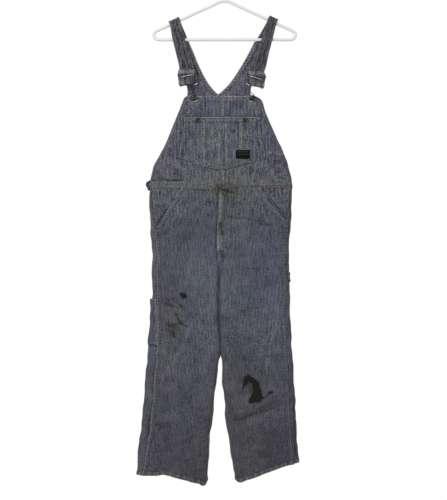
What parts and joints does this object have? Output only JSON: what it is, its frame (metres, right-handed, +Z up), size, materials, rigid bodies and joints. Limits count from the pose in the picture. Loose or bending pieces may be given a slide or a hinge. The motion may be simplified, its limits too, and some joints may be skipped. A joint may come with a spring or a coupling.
{
  "type": "bib overalls on a clothes hanger",
  "caption": "Worn striped denim bib overalls spattered with paint, hung by the straps on a white tubular clothes hanger",
  "frame": {"origin": "inside the top of the hanger's hook, where a rail or a wall hook carries it", "axes": "+Z up, -Y towards the viewer at the garment's front, +X to the viewer's right"},
  "size_m": [0.4839, 0.0502, 1.5473],
  "materials": {
    "denim": "worn indigo and white hickory stripe denim with black and green paint stains",
    "label": "plain black woven patch",
    "brass": "dull tarnished brass",
    "pewter": "dull worn pewter grey metal",
    "white_plastic": "smooth white moulded plastic"
  },
  "bodies": {
    "root": {"front_left": "denim", "front_right": "denim", "back_left": "denim", "back_right": "denim", "hip_facing_left": "denim", "hip_facing_right": "denim", "bib_left": "denim", "bib_right": "denim", "waist_seam_left": "denim", "waist_seam_right": "denim", "bib_seam_upper": "denim", "bib_seam_lower": "denim", "bib_pocket": "denim", "label": "label", "pocket_button_left": "brass", "pocket_button_right": "brass", "fly": "denim", "pocket_band_left": "denim", "pocket_band_right": "denim", "back_bib_left": "denim", "back_bib_right": "denim", "side_pocket": "denim", "tool_loop": "denim", "waist_tab": "denim", "strap_left": "denim", "strap_right": "denim", "slide_left": "pewter", "slide_right": "pewter", "wire_left": "pewter", "wire_right": "pewter", "bib_button_left": "brass", "bib_button_right": "brass", "hanger_frame": "white_plastic", "hanger_hook": "white_plastic"}
  },
  "joints": []
}
